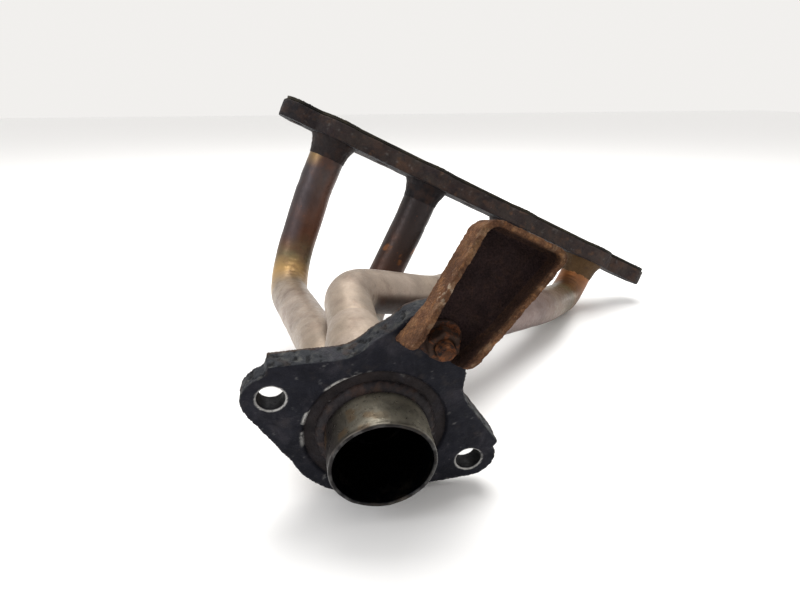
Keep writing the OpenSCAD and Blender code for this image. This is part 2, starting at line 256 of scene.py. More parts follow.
def finish(name, rough, metallic, spots=(), patch=(55, 0.72, 1.0), grain=0.5, grain_scale=1500,
           pit=0.5, pit_scale=420, bump_mm=0.25, shine_colour=(0.55, 0.54, 0.52), shine_rough=0.28,
           specular=0.4):
    """Metal coloured by the tint on its points, broken up by patches, spots, grain and pits."""
    m = bpy.data.materials.new(name)
    m.use_nodes = True
    nt = m.node_tree
    nt.nodes.clear()

    def node(kind, **values):
        n = nt.nodes.new(kind)
        for k, v in values.items():
            setattr(n, k, v)
        return n

    def link(a, b):
        nt.links.new(a, b)

    out = node("ShaderNodeOutputMaterial")
    shader = node("ShaderNodeBsdfPrincipled")
    shader.inputs["Metallic"].default_value = metallic
    shader.inputs["Specular IOR Level"].default_value = specular
    link(shader.outputs[0], out.inputs[0])
    where = node("ShaderNodeTexCoord").outputs["Object"]

    def cloud(scale, detail=5.0, roughness=0.6, warp=0.0):
        n = node("ShaderNodeTexNoise")
        n.inputs["Scale"].default_value = scale
        n.inputs["Detail"].default_value = detail
        n.inputs["Roughness"].default_value = roughness
        n.inputs["Distortion"].default_value = warp
        link(where, n.inputs["Vector"])
        return n.outputs["Fac"]

    def spread(value, lo, hi, a, b):
        n = node("ShaderNodeMapRange", clamp=True)
        n.inputs["From Min"].default_value = lo
        n.inputs["From Max"].default_value = hi
        n.inputs["To Min"].default_value = a
        n.inputs["To Max"].default_value = b
        link(value, n.inputs["Value"])
        return n.outputs["Result"]

    def mix(factor, a, b, kind="MIX"):
        n = node("ShaderNodeMix", data_type="RGBA", blend_type=kind)
        if isinstance(factor, float):
            n.inputs["Factor"].default_value = factor
        else:
            link(factor, n.inputs["Factor"])
        for value, socket in ((a, n.inputs[6]), (b, n.inputs[7])):
            if isinstance(value, (tuple, Vector)):
                socket.default_value = (*value[:3], 1.0)
            else:
                link(value, socket)
        return n.outputs[2]

    tint = node("ShaderNodeAttribute", attribute_name="tint").outputs["Color"]
    shine = node("ShaderNodeAttribute", attribute_name="shine").outputs["Fac"]
    scale, low, high = patch
    patches = spread(cloud(scale, 6.0, 0.62, 0.4), 0.35, 0.65, low, high)
    shade = node("ShaderNodeCombineColor")
    for socket in shade.inputs[:3]:
        link(patches, socket)
    colour = mix(1.0, tint, shade.outputs[0], "MULTIPLY")
    plain = node("ShaderNodeAttribute", attribute_name="plain").outputs["Fac"]
    spotted = spread(plain, 0.0, 1.0, 1.0, 0.0)
    for scale, lo, hi, spot_colour, amount in spots:
        some = node("ShaderNodeMath", operation="MULTIPLY")
        link(spread(cloud(scale, 6.0, 0.65, 0.6), lo, hi, 0.0, amount), some.inputs[0])
        link(spotted, some.inputs[1])
        colour = mix(some.outputs[0], colour, spot_colour)
    small = cloud(grain_scale, 3.0, 0.6)
    speck = node("ShaderNodeCombineColor")
    level = spread(small, 0.3, 0.7, 1.0 - 0.35 * grain, 1.0)
    for socket in speck.inputs[:3]:
        link(level, socket)
    colour = mix(1.0, colour, speck.outputs[0], "MULTIPLY")
    scratch = node("ShaderNodeMath", operation="MULTIPLY")
    link(shine, scratch.inputs[0])
    link(spread(cloud(260, 5.0, 0.7, 1.0), 0.38, 0.52, 0.25, 1.0), scratch.inputs[1])
    colour = mix(scratch.outputs[0], colour, shine_colour)
    link(colour, shader.inputs["Base Color"])
    medium = cloud(pit_scale, 5.0, 0.65, 0.3)
    dull = spread(medium, 0.3, 0.7, rough[0], rough[1])
    gloss = node("ShaderNodeMix", data_type="FLOAT")
    link(scratch.outputs[0], gloss.inputs[0])
    link(dull, gloss.inputs[2])
    gloss.inputs[3].default_value = shine_rough
    link(gloss.outputs[0], shader.inputs["Roughness"])
    add = node("ShaderNodeMath", operation="MULTIPLY_ADD")
    link(medium, add.inputs[0])
    add.inputs[1].default_value = pit
    half = node("ShaderNodeMath", operation="MULTIPLY")
    link(small, half.inputs[0])
    half.inputs[1].default_value = grain
    link(half.outputs[0], add.inputs[2])
    bump = node("ShaderNodeBump")
    bump.inputs["Strength"].default_value = 1.0
    bump.inputs["Distance"].default_value = bump_mm * MM
    link(add.outputs[0], bump.inputs["Height"])
    link(bump.outputs[0], shader.inputs["Normal"])
    return m


tube_metal = finish(
    "tube_metal", (0.30, 0.55), 0.55, grain=0.5, pit=0.6, bump_mm=0.10,
    spots=((45, 0.54, 0.68, rgb(92, 62, 48), 0.35), (160, 0.60, 0.72, rgb(60, 46, 42), 0.35),
           (600, 0.62, 0.72, rgb(150, 92, 50), 0.3)))
collector_metal = finish(
    "collector_metal", (0.38, 0.62), 0.45, grain=0.5, pit=0.6, bump_mm=0.12,
    spots=((50, 0.56, 0.70, rgb(112, 96, 84), 0.4), (220, 0.62, 0.72, rgb(84, 66, 56), 0.35)))
weld_metal = finish(
    "weld_metal", (0.45, 0.75), 0.35, specular=0.15, grain=0.8, pit=0.9, bump_mm=0.25,
    spots=((120, 0.52, 0.64, rgb(88, 60, 44), 0.5), (420, 0.60, 0.70, rgb(30, 27, 28), 0.6)))
head_iron = finish(
    "head_iron", (0.50, 0.85), 0.2, specular=0.12, grain=0.9, pit=0.9, bump_mm=0.35, pit_scale=300,
    spots=((60, 0.50, 0.64, rgb(74, 56, 48), 0.6), (200, 0.56, 0.68, rgb(34, 32, 36), 0.7),
           (700, 0.62, 0.72, rgb(104, 88, 74), 0.25)))
gasket_metal = finish(
    "gasket_metal", (0.45, 0.75), 0.3, specular=0.12, grain=0.8, pit=0.7, bump_mm=0.2,
    spots=((80, 0.50, 0.62, rgb(72, 64, 48), 0.5), (350, 0.58, 0.68, rgb(28, 27, 28), 0.6)))
outlet_iron = finish(
    "outlet_iron", (0.42, 0.78), 0.25, specular=0.10, grain=0.8, pit=1.0, bump_mm=0.30, pit_scale=330,
    spots=((70, 0.52, 0.66, rgb(52, 50, 56), 0.6), (260, 0.60, 0.72, rgb(24, 25, 30), 0.6),
           (900, 0.66, 0.74, rgb(120, 116, 112), 0.35)))
pipe_metal = finish(
    "pipe_metal", (0.24, 0.42), 0.85, grain=0.4, pit=0.5, bump_mm=0.08,
    spots=((60, 0.54, 0.68, rgb(74, 66, 56), 0.5), (300, 0.62, 0.70, rgb(44, 40, 38), 0.5)))
rust = finish(
    "rust", (0.75, 0.95), 0.0, specular=0.08, grain=1.5, grain_scale=1100, pit=1.3, pit_scale=380,
    bump_mm=0.7, patch=(70, 0.55, 1.0),
    spots=((90, 0.50, 0.62, rgb(78, 52, 40), 0.6), (260, 0.55, 0.66, rgb(168, 118, 76), 0.4),
           (500, 0.58, 0.68, rgb(52, 38, 32), 0.6), (1300, 0.62, 0.70, rgb(186, 150, 112), 0.4)))
thread_steel = finish(
    "thread_steel", (0.55, 0.85), 0.25, specular=0.12, grain=1.0, pit=0.9, bump_mm=0.25,
    spots=((300, 0.50, 0.62, rgb(120, 70, 40), 0.6), (700, 0.58, 0.68, rgb(40, 32, 30), 0.6)))


# ---- bent tubes ----

def cluster_point(turn, s):
    """A point on the axis of the socket at this angle, s behind the outlet face."""
    back = Vector((0, math.cos(rad(OUTLET_TILT)), math.sin(rad(OUTLET_TILT))))
    up = Vector((0, -math.sin(rad(OUTLET_TILT)), math.cos(rad(OUTLET_TILT))))
    return (OUTLET + s * back + CLUSTER_R * math.cos(rad(turn)) * Vector((1, 0, 0))
            + CLUSTER_R * math.sin(rad(turn)) * up)


# The runners end this far behind the outlet face
END_S = OUTLET_T + 13.0
BLACK_END = 16.0
TUBE_SEGMENTS = 72
TUBE_STEP = 1.4


def route(number, turn, corners, last_s):
    """The corners of a runner, from its port to its socket."""
    x = PORTS_X[number - 1]
    return [(x, 0, TOP_Z), *corners, cluster_point(turn, last_s), cluster_point(turn, END_S)]


# The corners of each runner, then the bend radius at each of them
ROUTES = {
    1: (route(1, CLUSTER_TURNS[2], [(0, 0, -36), (7.4, 1.0, -114)], 75), [0, 100, 38, 80]),
    2: (route(2, CLUSTER_TURNS[3], [(80, 0, -30), (76, 0, -116)], 62), [0, 120, 38, 60]),
    3: (route(3, CLUSTER_TURNS[1], [(160, 0, -48), (82, -92, -71)], 98), [0, 34, 100, 30]),
    4: (route(4, CLUSTER_TURNS[0], [(240, 0, -34), (184, -60, -49)], 64), [0, 28, 80, 30]),
}


def walk(corners, radii, gap):
    """Evenly spaced points along a route, each with its direction, the side that a bend turns to
    and how bent it is: 0 at both ends of a bend and 1 in its middle."""
    c = [Vector(p) for p in corners]
    pts = []
    cut = [0.0] * len(c)
    for i in range(1, len(c) - 1):
        d0, d1 = (c[i] - c[i - 1]).normalized(), (c[i + 1] - c[i]).normalized()
        cut[i] = radii[i] * math.tan(d0.angle(d1) / 2)
    for i in range(len(c) - 1):
        d = (c[i + 1] - c[i]).normalized()
        length = (c[i + 1] - c[i]).length - cut[i] - cut[i + 1]
        n = max(1, round(length / gap))
        pts += [(c[i] + (cut[i] + length * k / n) * d, d, None, 0.0) for k in range(n)]
        if i < len(c) - 2:
            d1 = (c[i + 2] - c[i + 1]).normalized()
            turn = d.angle(d1)
            side = (d1 - d.dot(d1) * d).normalized()
            centre = c[i + 1] - cut[i + 1] * d + radii[i + 1] * side
            n = max(2, round(turn * radii[i + 1] / gap))
            for k in range(n):
                a = turn * k / n
                pts.append((centre + radii[i + 1] * (math.sin(a) * d - math.cos(a) * side),
                            math.cos(a) * d + math.sin(a) * side, math.cos(a) * side - math.sin(a) * d,
                            math.sin(math.pi * k / n)))
    d = (c[-1] - c[-2]).normalized()
    pts.append((c[-1], d, None, 0.0))
    return pts


def tube(number, colour_at, seed):
    """A runner: its outer skin, then its bore, joined at both ends."""
    corners, radii = ROUTES[number]
    pts = walk(corners, radii, TUBE_STEP)
    length = sum((b[0] - a[0]).length for a, b in zip(pts, pts[1:]))
    seg = TUBE_SEGMENTS
    verts, colours, rings = [], [], []
    x = square_to(pts[0][1])
    s, last = 0.0, pts[0][0]
    for p, d, side, bent in pts:
        s += (p - last).length
        last = p
        x = (x - x.dot(d) * d).normalized()
        y = d.cross(x)
        ring = []
        for k in range(seg):
            a = 2 * math.pi * k / seg
            out = math.cos(a) * x + math.sin(a) * y
            r = RUNNER_R - 0.05 + 0.22 * fbm(p + RUNNER_R * out, 22, 2, seed) * step(s, 14, 30)
            r += 0.05 * fbm(p + RUNNER_R * out, 3.0, 2, seed + 2)
            if side is not None:
                inside = out.dot(side)
                # A bend is a little flat on its outside and puckered on its inside
                r -= 0.45 * bent * max(0.0, -inside) ** 2
                r += 0.16 * bent * max(0.0, inside) ** 3 * math.sin(s * 1.1)
            v = p + r * out
            ring.append(len(verts))
            verts.append(v)
            # The last part of each runner, inside the collector hollow, is painted near black as painted
            # shade
            end = step(s, length - BLACK_END, length - BLACK_END + 6)
            colours.append(colour_at(s, v, out).lerp(HOLLOW_SHADE_BLACK, end))
        rings.append(ring)
    # The wall turns in at both ends and the inside runs all the way through
    inner = []
    x = square_to(pts[0][1])
    for i, (p, d, *_) in enumerate(pts):
        x = (x - x.dot(d) * d).normalized()
        y = d.cross(x)
        if i % 3 and i not in (0, len(pts) - 1):
            continue
        ring = []
        for k in range(seg):
            a = 2 * math.pi * k / seg
            ring.append(len(verts))
            verts.append(p + (RUNNER_R - RUNNER_WALL) * (math.cos(a) * x + math.sin(a) * y))
            # The bore is painted near black as painted shade
            colours.append(BORE_SHADE_BLACK)
        inner.append(ring)
    faces = []
    for a, b in zip(rings, rings[1:]):
        bridge(faces, a, b)
    bridge(faces, rings[-1], inner[-1])
    for a, b in zip(inner[::-1], inner[-2::-1]):
        bridge(faces, a, b)
    bridge(faces, inner[0], rings[0])
    obj = make("runner_tube_%d" % number, verts, faces, LIE)
    paint(obj, colours)
    return settle(obj, "runner_steel", tube_metal, "runner_%d" % number)


# Painted shade: near black for the runner ends inside the collector hollow and for the bores
HOLLOW_SHADE_BLACK = rgb(9, 9, 11)
BORE_SHADE_BLACK = rgb(16, 15, 16)
SOOT = rgb(46, 38, 38)
BROWN = rgb(80, 60, 54)
RED_BROWN = rgb(94, 60, 44)
GREY_BROWN = rgb(78, 68, 66)
OLIVE = rgb(104, 92, 66)
GOLD = rgb(184, 148, 94)
ORANGE = rgb(160, 100, 54)
TAN = rgb(152, 136, 118)
PALE = rgb(166, 150, 136)
PINK = rgb(122, 102, 96)


def tinted(stops, seed, blotch=0.35, blotch_colour=RED_BROWN):
    """Heat colours along a runner, with wavy borders and blotches."""
    def colour_at(s, v, out):
        wave = 9 * fbm(v, 26, 3, seed)
        c = ramp(s + wave, stops)
        t = step(fbm(v, 17, 4, seed + 4), 0.05, 0.75) * blotch
        return c.lerp(blotch_colour, t)
    return colour_at


# Runner 1's gold near its lower bend is heat tint brightened as painted highlight
runner_1_main = tinted(((14, SOOT), (34, GREY_BROWN), (62, BROWN), (88, RED_BROWN), (102, OLIVE),
                        (122, GOLD), (146, TAN), (200, PALE), (300, TAN)), 1.0, 0.5)
runner_2_main = tinted(((12, SOOT), (34, rgb(44, 36, 36)), (70, rgb(58, 44, 40)), (110, RED_BROWN),
                        (150, OLIVE), (180, TAN), (300, TAN)), 2.0, 0.35)
runner_3_main = tinted(((14, SOOT), (50, BROWN), (90, OLIVE), (130, TAN), (170, TAN), (210, PALE),
                        (330, TAN)), 3.0, 0.35, rgb(120, 100, 86))
runner_4_colour = tinted(((12, rgb(120, 88, 56)), (30, ORANGE), (52, ORANGE.lerp(OLIVE, 0.5)),
                          (78, OLIVE), (110, rgb(122, 104, 86)), (150, PINK), (200, PINK), (330, TAN)),
                         4.0, 0.45, rgb(96, 72, 58))


def runner_1_colour(s, v, out):
    c = runner_1_main(s, v, out)
    # The left side is slate grey between its golden ends, and the right side is rusty. The golden ends
    # are heat tint brightened as painted highlight where the tube faces the light
    middle = step(s, 26, 40) * (1 - step(s, 82, 98))
    c = c.lerp(rgb(62, 56, 60), 0.75 * step(-out.x, 0.0, 0.5) * middle)
    c = c.lerp(rgb(112, 66, 40), 0.45 * step(out.x, 0.1, 0.6) * middle)
    return c.lerp(GOLD, 0.55 * step(-out.x, 0.3, 0.8) * step(s, 12, 18) * (1 - step(s, 24, 36)))


def runner_2_colour(s, v, out):
    # A few orange spots half way down
    c = runner_2_main(s, v, out)
    spot = step(fbm(v, 12, 3, 8.0), 0.25, 0.55) * step(s, 50, 62) * (1 - step(s, 78, 90))
    return c.lerp(ORANGE, 0.75 * spot)


def runner_3_colour(s, v, out):
    # The lower half of the long arch is painted dark as painted shade, on the side turned away from the
    # light above
    c = runner_3_main(s, v, out)
    low = step(0.44 * out.x - 0.9 * out.z, -0.25, 0.3) * step(s, 60, 90) * (1 - step(s, 236, 252))
    return c.lerp(rgb(54, 42, 42), 0.85 * low)


RUNNER_COLOURS = (runner_1_colour, runner_2_colour, runner_3_colour, runner_4_colour)
for number, colour_at in enumerate(RUNNER_COLOURS, 1):
    tube(number, colour_at, float(number))


# ---- welds ----

def bead(height, seed, ripples, lift=0.45):
    """Moves a ring's surface like a run of weld laid in overlapping drops."""
    def wobble(p, a):
        r = math.hypot(p.x, p.y)
        out = Vector((p.x / r, p.y / r, 0))
        drop = abs(math.sin(a * ripples / 2 + 0.6 * fbm(p, 9, 2, seed)))
        return p + out * (lift * (drop - 0.6) + 0.35 * fbm(p, 5, 3, seed)) \
            + Vector((0, 0, height * 0.5 * fbm(p, 6, 2, seed + 3)))
    return wobble


def weld_colours(verts, base, seed, hot=rgb(98, 66, 46)):
    """The base colour with hotter patches."""
    return [base.lerp(hot, step(fbm(v, 7, 3, seed), 0.0, 0.7) * 0.5) for v in verts]


COLLAR = [(12.4, 0.8), (17.6, 0.8), (16.9, -1.0), (15.6, -3.6), (14.5, -6.6), (13.7, -10.0),
          (13.1, -14.0), (12.4, -14.2)]
COLLAR_COLOURS = (rgb(44, 38, 38), rgb(38, 34, 36), rgb(44, 38, 38), rgb(92, 70, 46))
for i, base in enumerate(COLLAR_COLOURS):
    at_port = LIE @ Matrix.Translation((PORTS_X[i], 0, 0))
    collar, local = lathe("port_collar_%d" % (i + 1), at_port, COLLAR, 150, bead(0.4, 10.0 + i, 22, 0.12))
    paint(collar, weld_colours(local, base, 20.0 + i, rgb(64, 48, 42)), None, [0.7] * len(local))
    settle(collar, "weld_steel", weld_metal, "port_weld_%d" % (i + 1))

FOOT = [(COLLECTOR_FOOT_R - 1.6, 0.3), (COLLECTOR_FOOT_R + 3.8, 0.3), (COLLECTOR_FOOT_R + 3.3, -2.2),
        (COLLECTOR_FOOT_R + 1.4, -4.5), (COLLECTOR_FOOT_R - 1.6, -5.0)]
flange_back = OUT @ Matrix.Translation((0, 0, -OUTLET_T))
weld, local = lathe("collector_bead", flange_back, FOOT, 240, bead(0.3, 31.0, 56))
paint(weld, weld_colours(local, rgb(96, 86, 76), 31.0))
settle(weld, "weld_steel", weld_metal, "collector_weld")

AROUND_PIPE = [(PIPE_R - 0.6, -0.6), (PIPE_R + 3.5, -0.6), (PIPE_R + 3.4, 0.9), (PIPE_R + 2.4, 2.3),
               (PIPE_R + 1.0, 3.0), (PIPE_R - 0.6, 3.2)]
seat_floor = OUT @ Matrix.Translation((0, 0, -SEAT_DEPTH))
weld, local = lathe("outlet_bead", seat_floor, AROUND_PIPE, 260, bead(0.5, 41.0, 46))
paint(weld, weld_colours(local, rgb(46, 42, 44), 41.0, rgb(84, 66, 56)), None, [0.5] * len(local))
settle(weld, "weld_steel", weld_metal, "outlet_weld")


# ---- collector ----

SLEEVE_SEGMENTS = 48
# The first sleeve, on the fourth runner, is this much fatter
SLEEVE_SWELL = 1.6
# The near-black paint of the cone's hollow, painted shade where the hollow is seen through the pipe,
# reaches this far out and this far back from the flange. It also falls on the flat back between the
# sockets.
HOLLOW_R = 31.0
HOLLOW_L = 22.0


def sleeve(turn):
    """A hollow cone that carries the shell smoothly onto a runner."""
    fat = SLEEVE_SWELL if turn == CLUSTER_TURN else 0.0
    rings = [(12.4, -41.0), (15.2 + fat, -41.0), (14.6 + fat, -46.0), (13.7 + fat, -51.0), (13.15, -57.0),
             (12.4, -57.0)]
    c = Vector((CLUSTER_R * math.cos(rad(turn)), CLUSTER_R * math.sin(rad(turn)), 0))
    n = SLEEVE_SEGMENTS
    points = [c + Vector((r * math.cos(2 * math.pi * i / n), r * math.sin(2 * math.pi * i / n), z))
              for i in range(n) for r, z in rings]
    return points, turned_faces(n, len(rings))


def collector_point(v, n):
    place = v + n * (0.30 * fbm(v, 16, 2, 51) + 0.10 * fbm(v, 3, 2, 52) + 0.35
                     - 0.3 * step(-v.z, 50, 56))
    facing_axis = n.x * v.x + n.y * v.y < 0.2 * v.length
    # Points of the hollow are painted near black as painted shade
    inside = facing_axis and math.hypot(v.x, v.y) < HOLLOW_R and v.z > -OUTLET_T - HOLLOW_L
    c = PALE.lerp(TAN, 0.5 + 0.5 * fbm(v, 20, 3, 53))
    c = c.lerp(rgb(120, 100, 84), step(fbm(v, 12, 4, 54), 0.1, 0.8) * 0.6)
    c = c.lerp(rgb(78, 68, 62), step(v.z, -OUTLET_T - 9, -OUTLET_T - 1) * 0.7)
    return place, rgb(8, 9, 12) if inside else c, 0.0, 0.0


def merge_point(v, n):
    drop = abs(math.sin(v.x * 0.95 + 0.7 * v.y + 0.8 * fbm(v, 7, 2, 61)))
    place = v + n * (0.05 + 0.16 * (drop - 0.5) + 0.15 * fbm(v, 4, 3, 62))
    c = rgb(136, 122, 106).lerp(rgb(104, 88, 74), step(fbm(v, 8, 3, 63), 0.0, 0.8))
    return place, c, 0.0, 0.0


reshape("collector_shell", "collector", OUT, (0.9, 0.7, 14), collector_point,
        "collector_steel", collector_metal, [sleeve(t) for t in CLUSTER_TURNS])
reshape("merge_bead", "merge_weld", OUT, (0.6, 0.5, 3), merge_point, "weld_steel", weld_metal)


# ---- outlet flange ----

def outlet_colour(v, r, hole, rim, face):
    c = rgb(36, 37, 45).lerp(rgb(24, 24, 31), 0.5 + 0.5 * fbm(v, 14, 3, 73))
    c = c.lerp(rgb(66, 60, 58), step(fbm(v, 9, 4, 74), 0.25, 0.8) * 0.45)
    if rim:
        c = rgb(48, 50, 54).lerp(rgb(88, 88, 84), step(fbm(v, 4, 4, 75), 0.0, 0.7) * 0.6)
        c = c.lerp(rgb(18, 18, 20), step(fbm(v, 3.2, 3, 70), 0.15, 0.4) * 0.8)
        c = c.lerp(rgb(78, 60, 46), step(fbm(v, 8, 3, 76), 0.2, 0.7) * 0.3)
    if v.z < -OUTLET_T + 1.5:
        c = c.lerp(rgb(96, 74, 58), 0.4)
    # The walls of the holes are painted near black as painted shade
    if hole < JOINT_HOLE_R + 0.15:
        c = rgb(22, 22, 25)
    if face and v.z < -0.6 and r < SEAT_R + 1.15:
        c = rgb(56, 50, 50).lerp(rgb(36, 33, 35), 0.5 + 0.5 * fbm(v, 6, 3, 77))
    return c


def outlet_shine(v, n, r, hole, face):
    # The edge of the seat is rubbed bright on the left
    angle = math.degrees(math.atan2(v.y, v.x)) % 360
    left = step(angle, 118, 134) * (1 - step(angle, 200, 222))
    edge = step(r, SEAT_R - 0.75, SEAT_R - 0.15) * (1 - step(r, SEAT_R + 0.65, SEAT_R + 1.65))
    bare = edge * left * step(fbm(v, 6, 2, 78), -0.1, 0.2)
    # A thin bright ring runs round each joint hole
    if n.z > 0.2 and abs(v.x) > 30:
        bare = max(bare, 0.8 * step(hole, JOINT_HOLE_R + 0.15, JOINT_HOLE_R + 0.55)
                   * (1 - step(hole, JOINT_HOLE_R + 0.75, JOINT_HOLE_R + 1.15)))
    if face and hole > 9:
        bare = max(bare, 0.12 * step(fbm(v, 3.0, 3, 79), 0.6, 0.85))
    return bare


def outlet_point(v, n):
    r = math.hypot(v.x, v.y)
    hole = min(math.hypot(abs(v.x) - JOINT_HOLE_X, v.y), math.hypot(v.x, v.y - STUD_Y))
    rim = abs(n.z) < 0.75 and r > SEAT_R + 0.65 and hole > 8
    face = n.z > 0.75
    away = step(hole, 7.5, 9.5)
    d = (0.32 * fbm(v, 9, 3, 71) + 0.24 * fbm(v, 2.2, 3, 72)) * (1.0 if rim else 0.4) * away
    if rim:
        d -= 0.45 * step(fbm(v, 3.2, 3, 70), 0.15, 0.45)
    place = v + n * (d - (0.3 if rim else 0.12))
    return place, outlet_colour(v, r, hole, rim, face), outlet_shine(v, n, r, hole, face), 0.0


reshape("outlet_casting", "outlet_flange", OUT, (0.6, 0.5, 3), outlet_point, "outlet_iron", outlet_iron)


# ---- outlet pipe ----

PIPE_BORE_R = PIPE_R - PIPE_WALL
PIPE_L = PIPE_IN + PIPE_OUT
PIPE_PROFILE = [(PIPE_R - 0.05, 0), (PIPE_R - 0.05, PIPE_L - 0.9), (PIPE_R - 0.35, PIPE_L - 0.35),
                (PIPE_R - 0.9, PIPE_L - 0.1), (PIPE_BORE_R + 0.7, PIPE_L - 0.1),
                (PIPE_BORE_R + 0.1, PIPE_L - 0.6), (PIPE_BORE_R, 0)]


def pipe_wobble(p, a):
    """The free end is a little out of round and its lip is uneven."""
    out = ray(a)
    high = step(p.z, 12, 30)
    r = 0.12 * math.sin(2 * a + 0.5) * high + 0.14 * fbm(p, 12, 3, 81) + 0.05 * fbm(p, 2, 2, 82)
    return p + out * (r - 0.12) + Vector((0, 0, -0.25 * high * (0.5 + 0.5 * fbm(p, 8, 3, 83))))


def pipe_look(v):
    """The colour, with a painted highlight along the top and painted shade at the foot and in the bore,
    and the shine at a point of the pipe.
    """
    r = math.hypot(v.x, v.y)
    s = v.z - PIPE_IN
    # Painted highlight: the top of the pipe is painted pale and the sides darker
    up = step(v.y / PIPE_R, -0.1, 0.95)
    c = rgb(92, 86, 82).lerp(rgb(66, 60, 60), 0.5 + 0.5 * fbm(v, 9, 3, 84))
    c = c.lerp(rgb(214, 206, 184), up * (0.75 + 0.3 * fbm(v, 10, 2, 85)))
    c = c.lerp(rgb(150, 116, 76), 0.5 * step(fbm(v, 9, 3, 87), 0.1, 0.5) * step(-v.x / PIPE_R, 0.1, 0.7))
    # Painted shadow: darker just outside the flange, where the pipe meets the weld
    c = c.lerp(rgb(40, 36, 36), 1 - step(s, 0, 6))
    c = c.lerp(rgb(52, 48, 48), step(s, 19.0, 22.0) * 0.75)
    bare = 0.0
    # The bore is painted near black as painted shade
    if r < PIPE_BORE_R + 0.35:
        c = rgb(9, 11, 15)
    elif s > PIPE_OUT - 0.9:
        c = rgb(40, 38, 38)
        bare = 0.08 * step(fbm(v, 4, 3, 86), -0.1, 0.4)
    return c, bare


pipe_foot = OUT @ Matrix.Translation((0, 0, -PIPE_IN))
obj, local = lathe("outlet_stub", pipe_foot, PIPE_PROFILE, 300, pipe_wobble, 0.7)
paint(obj, *zip(*[pipe_look(v) for v in local]))
settle(obj, "pipe_steel", pipe_metal, "outlet_pipe")


# ---- head flange and its gasket ----

def head_point(v, n):
    side = abs(n.z) < 0.7
    under = n.z < -0.7
    hole = min(math.hypot(v.x - x, v.y) for x in STUDS_X)
    away = step(hole, STUD_HOLE_R + 1, STUD_HOLE_R + 3.5)
    d = (0.45 * fbm(v, 12, 3, 91) + 0.20 * fbm(v, 3, 3, 92)) * (1.0 if side else 0.5) * away
    c = rgb(58, 52, 50).lerp(rgb(40, 37, 40), 0.5 + 0.5 * fbm(v, 16, 3, 93))
    if side:
        c = rgb(66, 59, 55).lerp(rgb(50, 40, 41), 0.5 + 0.5 * fbm(v, 9, 4, 94))
        c = c.lerp(rgb(104, 76, 56), step(fbm(v, 6, 3, 95), 0.25, 0.8) * 0.45)
    # The underside, facing the floor, is painted darker as painted shade
    if under:
        c = rgb(28, 28, 35).lerp(rgb(46, 39, 40), step(fbm(v, 12, 4, 96), 0.0, 0.8) * 0.6)
    # The end beyond the first port is the darkest
    c = c.lerp(rgb(30, 30, 36), 0.7 * (1 - step(v.x, -36, 6)))
    bare = 0.08 * step(fbm(v, 4, 3, 97), 0.5, 0.8) if side else 0.0
    return v + n * (d - 0.22), c, bare, 0.0


def gasket_point(v, n):
    z = v.z - HEAD_T
    side = abs(n.z) < 0.75
    # Two sheets lie on each other: a fine groove runs round the edge between them
    groove = step(z, 0.75, 1.1) * (1 - step(z, 1.25, 1.6)) if side else 0.0
    port = min(math.hypot(v.x - x, v.y) for x in PORTS_X)
    # A pressed sealing bead runs round each port
    ridge = 0.0
    if n.z > 0.75:
        ridge = 0.35 * math.exp(-((port - 17.5) / 1.3) ** 2)
    place = v - n * (0.5 * groove) + n * (0.25 * fbm(v, 9, 3, 101) * (0.8 if side else 0.25)) \
        + Vector((0, 0, ridge - 0.35 if n.z > 0.75 else 0))
    c = rgb(60, 56, 46).lerp(rgb(34, 33, 33), 0.5 + 0.5 * fbm(v, 11, 3, 102))
    if n.z > 0.75:
        c = c.lerp(rgb(92, 70, 52), step(fbm(v, 18, 4, 103), 0.0, 0.7) * 0.6)
        c = c.lerp(rgb(26, 25, 26), (1 - step(port, 15.5, 20.5)) * 0.8)
    return place, c, 0.0, 0.0


reshape("head_plate", "head_flange", LIE, (0.8, 0.5, 4), head_point, "flange_iron", head_iron)
reshape("gasket_sheets", "head_gasket", LIE, (0.55, 0.5, 2), gasket_point, "gasket_steel", gasket_metal)


# ---- stay bracket ----

def bracket_point(v, n):
    scale = 0.16 * fbm(v, 5, 3, 111) + 0.18 * fbm(v, 1.6, 3, 112) + 0.16 * fbm(v, 14, 2, 113)
    flake = step(fbm(v, 7, 3, 114), 0.25, 0.4) * 0.22
    place = v + n * (scale - flake - 0.15)
    # The free lip of the walls is eaten away unevenly
    lip = step(v.z, 7.5, STAY_DEPTH)
    place.z -= lip * (0.4 + 0.4 * fbm(v, 8, 3, 115) + 0.35 * fbm(v, 2.5, 2, 116))
    inside = n.z > 0.6 and v.z < 8
    facing_in = (n.x > 0.5 and v.x < 0) or (n.x < -0.5 and v.x > 8) or (n.y < -0.5 and v.y > 20)
    c = rgb(128, 92, 66).lerp(rgb(96, 66, 50), 0.5 + 0.5 * fbm(v, 6, 4, 117))
    c = c.lerp(rgb(150, 112, 80), step(fbm(v, 5, 4, 118), 0.2, 0.7) * 0.6)
    # Inside, the channel is painted dark, partly darker rust and partly painted shade, and is free of
    # light rust
    rust_and_shade = 0.0
    if inside or facing_in:
        rust_and_shade = 0.92 if inside else 0.75
        rust_and_shade *= 1 - 0.75 * step(v.z, 9, 13)
    # Faces that look along -y at the low end of the channel are painted dark too, as painted shade
    elif n.y < -0.5 and v.y < -14 and v.z < 5:
        rust_and_shade = 0.9
    c = c.lerp(rgb(42, 33, 36), rust_and_shade)
    if v.z > 11:
        c = c.lerp(rgb(160, 132, 106), step(fbm(v, 4, 3, 119), 0.1, 0.6) * 0.5)
    # Pale flakes half way up the left wall
    if v.x < -8 and v.z > 8:
        half_way = step(v.y, -4, 4) * (1 - step(v.y, 10, 18))
        c = c.lerp(rgb(196, 176, 152), 0.8 * step(fbm(v, 2.6, 3, 120), 0.3, 0.5) * half_way)
    return place, c, 0.0, rust_and_shade


reshape("stay_pressing", "stay_bracket", STAY, (0.55, 0.5, 3), bracket_point, "rusty_steel", rust)


# ---- stay stud, washer and nut ----

